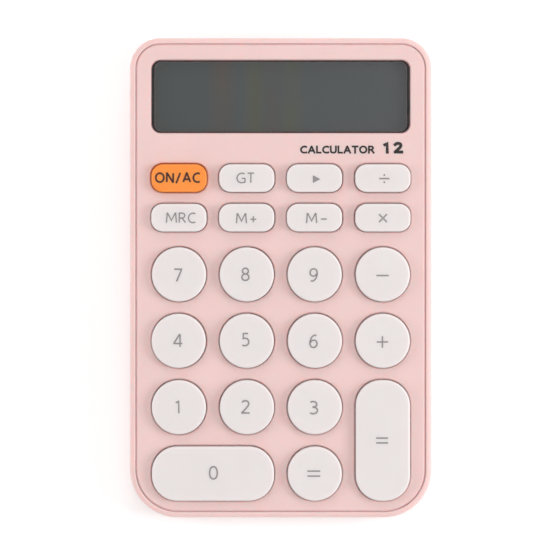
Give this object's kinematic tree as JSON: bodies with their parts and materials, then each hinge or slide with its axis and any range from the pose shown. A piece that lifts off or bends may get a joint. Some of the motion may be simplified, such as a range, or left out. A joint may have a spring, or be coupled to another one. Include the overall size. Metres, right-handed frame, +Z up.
{
  "type": "desk calculator",
  "caption": "Wedge desk calculator with round and oblong sprung keys, a smoked display window and a sliding battery door.",
  "frame": {"origin": "under the middle of the body, on the plane that the rubber feet stand on", "axes": "+X to the user's right, +Y towards the display, +Z up"},
  "size_m": [0.1, 0.1602, 0.0247],
  "materials": {
    "case_pink": "fine-grained moulded plastic",
    "panel_pink": "fine-grained moulded plastic",
    "key_white": "satin moulded plastic",
    "key_orange": "satin moulded plastic",
    "window_smoke": "smoked, polished",
    "tape_black": "double-sided adhesive film",
    "holder_white": "moulded plastic",
    "display_glass": "clear, polished",
    "display_film": "polarising film",
    "reflector_film": "brushed reflecting film",
    "zebra_rubber": "layered conducting rubber",
    "silicone": "translucent silicone",
    "carbon_rubber": "conducting rubber",
    "board_green": "solder-masked laminate",
    "black_epoxy": "potting epoxy",
    "chip_ceramic": "fired ceramic",
    "capacitor_can": "sleeved can",
    "screw_steel": "zinc plated",
    "cell_jacket": "plain printed sleeve",
    "contact_steel": "nickel plated",
    "lead_red": "insulation",
    "lead_black": "insulation",
    "foot_rubber": "soft grey rubber"
  },
  "bodies": {
    "body": {"rear_case": "case_pink", "front_panel": "panel_pink", "display_window": "window_smoke", "window_tape": "tape_black", "lcd_holder": "holder_white", "lcd_glass": "display_glass", "lcd_front_polariser": "display_film", "lcd_reflector": "reflector_film", "zebra_strip": "zebra_rubber", "keypad_mat": "silicone", "contact_pills": "carbon_rubber", "circuit_board": "board_green", "chip_blob": "black_epoxy", "chip_components": "chip_ceramic", "electrolytic_capacitor": "capacitor_can", "board_screws": "screw_steel", "casing_screws": "screw_steel", "battery_cell": "cell_jacket", "battery_spring": "contact_steel", "battery_plate": "contact_steel", "red_lead": "lead_red", "black_lead": "lead_black", "rubber_feet": "foot_rubber"},
    "key_on_ac": {"key_on_ac": "key_orange"},
    "key_gt": {"key_gt": "key_white"},
    "key_backspace": {"key_backspace": "key_white"},
    "key_divide": {"key_divide": "key_white"},
    "key_mrc": {"key_mrc": "key_white"},
    "key_m_plus": {"key_m_plus": "key_white"},
    "key_m_minus": {"key_m_minus": "key_white"},
    "key_multiply": {"key_multiply": "key_white"},
    "key_7": {"key_7": "key_white"},
    "key_8": {"key_8": "key_white"},
    "key_9": {"key_9": "key_white"},
    "key_minus": {"key_minus": "key_white"},
    "key_4": {"key_4": "key_white"},
    "key_5": {"key_5": "key_white"},
    "key_6": {"key_6": "key_white"},
    "key_plus": {"key_plus": "key_white"},
    "key_1": {"key_1": "key_white"},
    "key_2": {"key_2": "key_white"},
    "key_3": {"key_3": "key_white"},
    "key_equals": {"key_equals": "key_white"},
    "key_0": {"key_0": "key_white"},
    "key_total": {"key_total": "key_white"},
    "battery_door": {"battery_door": "case_pink"}
  },
  "joints": [
    {"name": "press_on_ac", "type": "slide", "parent": "body", "child": "key_on_ac", "axis": [0, 0.0872, -0.9962], "range_m": [0, 0.0015], "stiffness_N_per_m": 400, "springref_m": -0.0004, "deforming": ["keypad_mat", "contact_pills"]},
    {"name": "press_gt", "type": "slide", "parent": "body", "child": "key_gt", "axis": [0, 0.0872, -0.9962], "range_m": [0, 0.0015], "stiffness_N_per_m": 400, "springref_m": -0.0004, "deforming": ["keypad_mat", "contact_pills"]},
    {"name": "press_backspace", "type": "slide", "parent": "body", "child": "key_backspace", "axis": [0, 0.0872, -0.9962], "range_m": [0, 0.0015], "stiffness_N_per_m": 400, "springref_m": -0.0004, "deforming": ["keypad_mat", "contact_pills"]},
    {"name": "press_divide", "type": "slide", "parent": "body", "child": "key_divide", "axis": [0, 0.0872, -0.9962], "range_m": [0, 0.0015], "stiffness_N_per_m": 400, "springref_m": -0.0004, "deforming": ["keypad_mat", "contact_pills"]},
    {"name": "press_mrc", "type": "slide", "parent": "body", "child": "key_mrc", "axis": [0, 0.0872, -0.9962], "range_m": [0, 0.0015], "stiffness_N_per_m": 400, "springref_m": -0.0004, "deforming": ["keypad_mat", "contact_pills"]},
    {"name": "press_m_plus", "type": "slide", "parent": "body", "child": "key_m_plus", "axis": [0, 0.0872, -0.9962], "range_m": [0, 0.0015], "stiffness_N_per_m": 400, "springref_m": -0.0004, "deforming": ["keypad_mat", "contact_pills"]},
    {"name": "press_m_minus", "type": "slide", "parent": "body", "child": "key_m_minus", "axis": [0, 0.0872, -0.9962], "range_m": [0, 0.0015], "stiffness_N_per_m": 400, "springref_m": -0.0004, "deforming": ["keypad_mat", "contact_pills"]},
    {"name": "press_multiply", "type": "slide", "parent": "body", "child": "key_multiply", "axis": [0, 0.0872, -0.9962], "range_m": [0, 0.0015], "stiffness_N_per_m": 400, "springref_m": -0.0004, "deforming": ["keypad_mat", "contact_pills"]},
    {"name": "press_7", "type": "slide", "parent": "body", "child": "key_7", "axis": [0, 0.0872, -0.9962], "range_m": [0, 0.0015], "stiffness_N_per_m": 400, "springref_m": -0.0004, "deforming": ["keypad_mat", "contact_pills"]},
    {"name": "press_8", "type": "slide", "parent": "body", "child": "key_8", "axis": [0, 0.0872, -0.9962], "range_m": [0, 0.0015], "stiffness_N_per_m": 400, "springref_m": -0.0004, "deforming": ["keypad_mat", "contact_pills"]},
    {"name": "press_9", "type": "slide", "parent": "body", "child": "key_9", "axis": [0, 0.0872, -0.9962], "range_m": [0, 0.0015], "stiffness_N_per_m": 400, "springref_m": -0.0004, "deforming": ["keypad_mat", "contact_pills"]},
    {"name": "press_minus", "type": "slide", "parent": "body", "child": "key_minus", "axis": [0, 0.0872, -0.9962], "range_m": [0, 0.0015], "stiffness_N_per_m": 400, "springref_m": -0.0004, "deforming": ["keypad_mat", "contact_pills"]},
    {"name": "press_4", "type": "slide", "parent": "body", "child": "key_4", "axis": [0, 0.0872, -0.9962], "range_m": [0, 0.0015], "stiffness_N_per_m": 400, "springref_m": -0.0004, "deforming": ["keypad_mat", "contact_pills"]},
    {"name": "press_5", "type": "slide", "parent": "body", "child": "key_5", "axis": [0, 0.0872, -0.9962], "range_m": [0, 0.0015], "stiffness_N_per_m": 400, "springref_m": -0.0004, "deforming": ["keypad_mat", "contact_pills"]},
    {"name": "press_6", "type": "slide", "parent": "body", "child": "key_6", "axis": [0, 0.0872, -0.9962], "range_m": [0, 0.0015], "stiffness_N_per_m": 400, "springref_m": -0.0004, "deforming": ["keypad_mat", "contact_pills"]},
    {"name": "press_plus", "type": "slide", "parent": "body", "child": "key_plus", "axis": [0, 0.0872, -0.9962], "range_m": [0, 0.0015], "stiffness_N_per_m": 400, "springref_m": -0.0004, "deforming": ["keypad_mat", "contact_pills"]},
    {"name": "press_1", "type": "slide", "parent": "body", "child": "key_1", "axis": [0, 0.0872, -0.9962], "range_m": [0, 0.0015], "stiffness_N_per_m": 400, "springref_m": -0.0004, "deforming": ["keypad_mat", "contact_pills"]},
    {"name": "press_2", "type": "slide", "parent": "body", "child": "key_2", "axis": [0, 0.0872, -0.9962], "range_m": [0, 0.0015], "stiffness_N_per_m": 400, "springref_m": -0.0004, "deforming": ["keypad_mat", "contact_pills"]},
    {"name": "press_3", "type": "slide", "parent": "body", "child": "key_3", "axis": [0, 0.0872, -0.9962], "range_m": [0, 0.0015], "stiffness_N_per_m": 400, "springref_m": -0.0004, "deforming": ["keypad_mat", "contact_pills"]},
    {"name": "press_equals", "type": "slide", "parent": "body", "child": "key_equals", "axis": [0, 0.0872, -0.9962], "range_m": [0, 0.0015], "stiffness_N_per_m": 400, "springref_m": -0.0004, "deforming": ["keypad_mat", "contact_pills"]},
    {"name": "press_0", "type": "slide", "parent": "body", "child": "key_0", "axis": [0, 0.0872, -0.9962], "range_m": [0, 0.0015], "stiffness_N_per_m": 600, "springref_m": -0.0004, "deforming": ["keypad_mat", "contact_pills"]},
    {"name": "press_total", "type": "slide", "parent": "body", "child": "key_total", "axis": [0, 0.0872, -0.9962], "range_m": [0, 0.0015], "stiffness_N_per_m": 600, "springref_m": -0.0004, "deforming": ["keypad_mat", "contact_pills"]},
    {"name": "door_slide", "type": "slide", "parent": "body", "child": "battery_door", "axis": [0, 1, 0], "range_m": [0, 0.026]}
  ]
}
